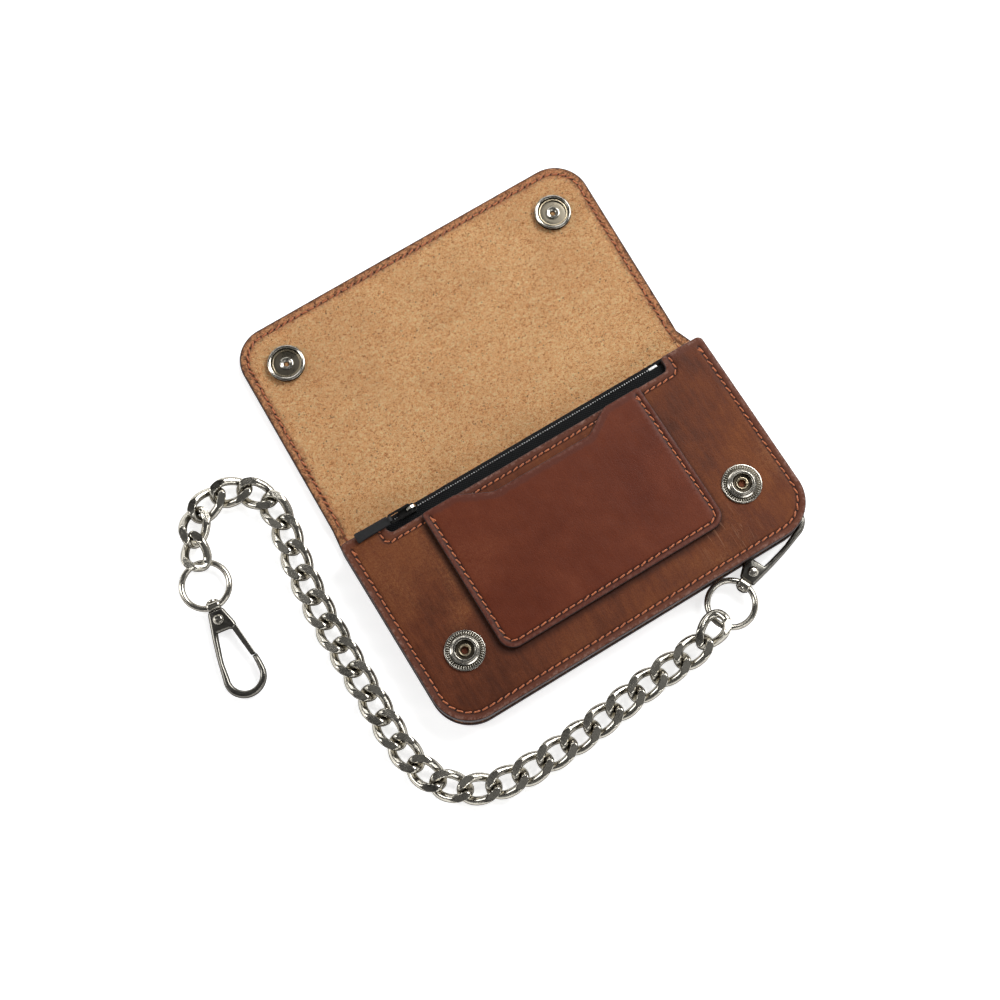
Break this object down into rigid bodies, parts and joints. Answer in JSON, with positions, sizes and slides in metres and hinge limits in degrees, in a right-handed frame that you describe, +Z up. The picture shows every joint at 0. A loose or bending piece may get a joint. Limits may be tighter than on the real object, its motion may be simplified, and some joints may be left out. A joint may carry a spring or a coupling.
{
  "type": "chain wallet",
  "caption": "Long leather wallet with a fold-over snap flap, zipped compartment and card pocket, tethered by a curb chain with a swivel hook at each end.",
  "frame": {"origin": "centre of the wallet body's flat underside, level with the table", "axes": "+X along the fold towards the clipped hook's side, +Y from the body towards the open flap, +Z up off the table"},
  "size_m": [0.2288, 0.2126, 0.0143],
  "materials": {
    "back_panel": "distressed waxed",
    "front_panel": "distressed waxed",
    "bill_gusset": "plain",
    "middle_panel": "plain",
    "zip_welt": "plain",
    "card_pocket": "smooth",
    "fold_spine": "flesh side",
    "flap": "flesh side",
    "pull_tab": "smooth",
    "zip_tape_front": "woven",
    "zip_tape_back": "woven",
    "zip_teeth": "stamped",
    "zip_slider": "polished nickel",
    "zip_bail": "polished nickel",
    "stud_left": "polished nickel",
    "stud_right": "polished nickel",
    "socket_left": "polished nickel",
    "socket_right": "polished nickel",
    "cap_left": "polished nickel",
    "cap_right": "polished nickel",
    "stud_eyelet_left": "polished",
    "stud_eyelet_right": "polished",
    "corner_post": "polished nickel",
    "hook1_body": "polished nickel",
    "hook1_gate": "polished nickel",
    "hook1_rivet": "polished nickel",
    "hook1_ring": "polished nickel",
    "hook2_body": "polished nickel",
    "hook2_gate": "polished nickel",
    "hook2_rivet": "polished nickel",
    "hook2_ring": "polished nickel",
    "link_01": "polished nickel",
    "link_02": "polished nickel",
    "link_03": "polished nickel",
    "link_04": "polished nickel",
    "link_05": "polished nickel",
    "link_06": "polished nickel",
    "link_07": "polished nickel",
    "link_08": "polished nickel",
    "link_09": "polished nickel",
    "link_10": "polished nickel",
    "link_11": "polished nickel",
    "link_12": "polished nickel",
    "link_13": "polished nickel",
    "link_14": "polished nickel",
    "link_15": "polished nickel",
    "link_16": "polished nickel",
    "link_17": "polished nickel",
    "link_18": "polished nickel",
    "link_19": "polished nickel",
    "link_20": "polished nickel",
    "link_21": "polished nickel",
    "link_22": "polished nickel",
    "link_23": "polished nickel",
    "link_24": "polished nickel",
    "link_25": "polished nickel",
    "link_26": "polished nickel",
    "link_27": "polished nickel",
    "link_28": "polished nickel",
    "link_29": "polished nickel"
  },
  "bodies": {
    "wallet": {"back_panel": "back_panel", "bill_gusset": "bill_gusset", "middle_panel": "middle_panel", "zip_welt": "zip_welt", "front_panel": "front_panel", "card_pocket": "card_pocket", "zip_tape_front": "zip_tape_front", "zip_tape_back": "zip_tape_back", "zip_teeth": "zip_teeth", "stud_left": "stud_left", "stud_right": "stud_right", "stud_eyelet_left": "stud_eyelet_left", "stud_eyelet_right": "stud_eyelet_right", "corner_post": "corner_post"},
    "spine": {"fold_spine": "fold_spine"},
    "flap": {"flap": "flap", "socket_left": "socket_left", "socket_right": "socket_right", "cap_left": "cap_left", "cap_right": "cap_right"},
    "slider": {"zip_slider": "zip_slider"},
    "puller": {"zip_bail": "zip_bail", "pull_tab": "pull_tab"},
    "hook1": {"hook1_body": "hook1_body", "hook1_rivet": "hook1_rivet"},
    "gate1": {"hook1_gate": "hook1_gate"},
    "ring1": {"hook1_ring": "hook1_ring"},
    "link_01": {"link_01": "link_01"},
    "link_02": {"link_02": "link_02"},
    "link_03": {"link_03": "link_03"},
    "link_04": {"link_04": "link_04"},
    "link_05": {"link_05": "link_05"},
    "link_06": {"link_06": "link_06"},
    "link_07": {"link_07": "link_07"},
    "link_08": {"link_08": "link_08"},
    "link_09": {"link_09": "link_09"},
    "link_10": {"link_10": "link_10"},
    "link_11": {"link_11": "link_11"},
    "link_12": {"link_12": "link_12"},
    "link_13": {"link_13": "link_13"},
    "link_14": {"link_14": "link_14"},
    "link_15": {"link_15": "link_15"},
    "link_16": {"link_16": "link_16"},
    "link_17": {"link_17": "link_17"},
    "link_18": {"link_18": "link_18"},
    "link_19": {"link_19": "link_19"},
    "link_20": {"link_20": "link_20"},
    "link_21": {"link_21": "link_21"},
    "link_22": {"link_22": "link_22"},
    "link_23": {"link_23": "link_23"},
    "link_24": {"link_24": "link_24"},
    "link_25": {"link_25": "link_25"},
    "link_26": {"link_26": "link_26"},
    "link_27": {"link_27": "link_27"},
    "link_28": {"link_28": "link_28"},
    "link_29": {"link_29": "link_29"},
    "ring2": {"hook2_ring": "hook2_ring"},
    "hook2": {"hook2_body": "hook2_body", "hook2_rivet": "hook2_rivet"},
    "gate2": {"hook2_gate": "hook2_gate"}
  },
  "joints": [
    {"name": "spine_fold", "type": "hinge", "parent": "wallet", "child": "spine", "pos_m": [0, 0.0448, 0.0024], "axis": [1, 0, 0], "range_deg": [0, 90]},
    {"name": "flap_fold", "type": "hinge", "parent": "spine", "child": "flap", "pos_m": [0, 0.0588, 0.0024], "axis": [1, 0, 0], "range_deg": [0, 90]},
    {"name": "zip_slide", "type": "slide", "parent": "wallet", "child": "slider", "axis": [1, 0, 0], "range_m": [0, 0.105]},
    {"name": "puller_swing", "type": "hinge", "parent": "slider", "child": "puller", "pos_m": [-0.0514, 0.0415, 0.0129], "axis": [0, 1, 0], "range_deg": [0, 180]},
    {"name": "hook1_swing", "type": "hinge", "parent": "wallet", "child": "hook1", "pos_m": [0.0731, -0.0352, 0.0042], "axis": [0, 0, 1], "range_deg": [0, 25]},
    {"name": "gate1_open", "type": "hinge", "parent": "hook1", "child": "gate1", "pos_m": [0.05015, -0.04197, 0.0042], "axis": [0, 0, 1], "range_deg": [-25, 0], "stiffness_Nm_per_rad": 0.02, "springref_deg": 22.92},
    {"name": "swivel1", "type": "hinge", "parent": "hook1", "child": "ring1", "pos_m": [0.04456, -0.04919, 0.0042], "axis": [0.9178, 0.3971, 0], "continuous": true},
    {"name": "swivel2", "type": "hinge", "parent": "ring2", "child": "hook2", "pos_m": [-0.13548, 0.04804, 0.0025], "axis": [-0.1478, -0.989, 0], "continuous": true},
    {"name": "gate2_open", "type": "hinge", "parent": "hook2", "child": "gate2", "pos_m": [-0.13231, 0.03948, 0.0025], "axis": [0, 0, 1], "range_deg": [-25, 0], "stiffness_Nm_per_rad": 0.02, "springref_deg": 22.92},
    {"name": "chain_01", "type": "hinge", "parent": "ring1", "child": "link_01", "pos_m": [0.02627, -0.05703, 0.00596], "axis": [0, 0, 1], "range_deg": [0, 5]},
    {"name": "chain_02", "type": "hinge", "parent": "link_01", "child": "link_02", "pos_m": [0.01752, -0.06074, 0.00451], "axis": [0, 0, 1], "range_deg": [0, 5]},
    {"name": "chain_03", "type": "hinge", "parent": "link_02", "child": "link_03", "pos_m": [0.00678, -0.06187, 0.0034], "axis": [0, 0, 1], "range_deg": [0, 5]},
    {"name": "chain_04", "type": "hinge", "parent": "link_03", "child": "link_04", "pos_m": [-0.00401, -0.06225, 0.0034], "axis": [0, 0, 1], "range_deg": [0, 5]},
    {"name": "chain_05", "type": "hinge", "parent": "link_04", "child": "link_05", "pos_m": [-0.01477, -0.06319, 0.0034], "axis": [0, 0, 1], "range_deg": [0, 5]},
    {"name": "chain_06", "type": "hinge", "parent": "link_05", "child": "link_06", "pos_m": [-0.02546, -0.06469, 0.0034], "axis": [0, 0, 1], "range_deg": [0, 5]},
    {"name": "chain_07", "type": "hinge", "parent": "link_06", "child": "link_07", "pos_m": [-0.03621, -0.06582, 0.0034], "axis": [0, 0, 1], "range_deg": [0, 5]},
    {"name": "chain_08", "type": "hinge", "parent": "link_07", "child": "link_08", "pos_m": [-0.04698, -0.06657, 0.0034], "axis": [0, 0, 1], "range_deg": [0, 5]},
    {"name": "chain_09", "type": "hinge", "parent": "link_08", "child": "link_09", "pos_m": [-0.05777, -0.06695, 0.0034], "axis": [0, 0, 1], "range_deg": [0, 5]},
    {"name": "chain_10", "type": "hinge", "parent": "link_09", "child": "link_10", "pos_m": [-0.06857, -0.06695, 0.0034], "axis": [0, 0, 1], "range_deg": [0, 5]},
    {"name": "chain_11", "type": "hinge", "parent": "link_10", "child": "link_11", "pos_m": [-0.07927, -0.06545, 0.0034], "axis": [0, 0, 1], "range_deg": [0, 5]},
    {"name": "chain_12", "type": "hinge", "parent": "link_11", "child": "link_12", "pos_m": [-0.08906, -0.06088, 0.0034], "axis": [0, 0, 1], "range_deg": [0, 5]},
    {"name": "chain_13", "type": "hinge", "parent": "link_12", "child": "link_13", "pos_m": [-0.09642, -0.05299, 0.0034], "axis": [0, 0, 1], "range_deg": [0, 5]},
    {"name": "chain_14", "type": "hinge", "parent": "link_13", "child": "link_14", "pos_m": [-0.10029, -0.0429, 0.0034], "axis": [0, 0, 1], "range_deg": [0, 5]},
    {"name": "chain_15", "type": "hinge", "parent": "link_14", "child": "link_15", "pos_m": [-0.10161, -0.03218, 0.0034], "axis": [0, 0, 1], "range_deg": [0, 5]},
    {"name": "chain_16", "type": "hinge", "parent": "link_15", "child": "link_16", "pos_m": [-0.10161, -0.02138, 0.0034], "axis": [0, 0, 1], "range_deg": [0, 5]},
    {"name": "chain_17", "type": "hinge", "parent": "link_16", "child": "link_17", "pos_m": [-0.10161, -0.01058, 0.0034], "axis": [0, 0, 1], "range_deg": [0, 5]},
    {"name": "chain_18", "type": "hinge", "parent": "link_17", "child": "link_18", "pos_m": [-0.10161, 0.00022, 0.0034], "axis": [0, 0, 1], "range_deg": [0, 5]},
    {"name": "chain_19", "type": "hinge", "parent": "link_18", "child": "link_19", "pos_m": [-0.10161, 0.01102, 0.0034], "axis": [0, 0, 1], "range_deg": [0, 5]},
    {"name": "chain_20", "type": "hinge", "parent": "link_19", "child": "link_20", "pos_m": [-0.10161, 0.02182, 0.0034], "axis": [0, 0, 1], "range_deg": [0, 5]},
    {"name": "chain_21", "type": "hinge", "parent": "link_20", "child": "link_21", "pos_m": [-0.10104, 0.0326, 0.0034], "axis": [0, 0, 1], "range_deg": [0, 5]},
    {"name": "chain_22", "type": "hinge", "parent": "link_21", "child": "link_22", "pos_m": [-0.09991, 0.04334, 0.0034], "axis": [0, 0, 1], "range_deg": [0, 5]},
    {"name": "chain_23", "type": "hinge", "parent": "link_22", "child": "link_23", "pos_m": [-0.09822, 0.05401, 0.0034], "axis": [0, 0, 1], "range_deg": [0, 5]},
    {"name": "chain_24", "type": "hinge", "parent": "link_23", "child": "link_24", "pos_m": [-0.09598, 0.06457, 0.0034], "axis": [0, 0, 1], "range_deg": [0, 5]},
    {"name": "chain_25", "type": "hinge", "parent": "link_24", "child": "link_25", "pos_m": [-0.09598, 0.07537, 0.0034], "axis": [0, 0, 1], "range_deg": [-8, 0]},
    {"name": "chain_26", "type": "hinge", "parent": "link_25", "child": "link_26", "pos_m": [-0.10217, 0.08422, 0.0034], "axis": [0, 0, 1], "range_deg": [-8, 0]},
    {"name": "chain_27", "type": "hinge", "parent": "link_26", "child": "link_27", "pos_m": [-0.11232, 0.08791, 0.0034], "axis": [0, 0, 1], "range_deg": [-8, 0]},
    {"name": "chain_28", "type": "hinge", "parent": "link_27", "child": "link_28", "pos_m": [-0.12275, 0.08512, 0.00363], "axis": [0, 0, 1], "range_deg": [-8, 0]},
    {"name": "chain_29", "type": "hinge", "parent": "link_28", "child": "link_29", "pos_m": [-0.1297, 0.07685, 0.00511], "axis": [0, 0, 1], "range_deg": [-8, 0]},
    {"name": "chain_30", "type": "hinge", "parent": "link_29", "child": "ring2", "pos_m": [-0.13183, 0.06759, 0.0025], "axis": [0, 0, 1], "range_deg": [-8, 0]}
  ],
  "couplings": [
    {"joint": "flap_fold", "follows": "spine_fold", "ratio": 1}
  ]
}
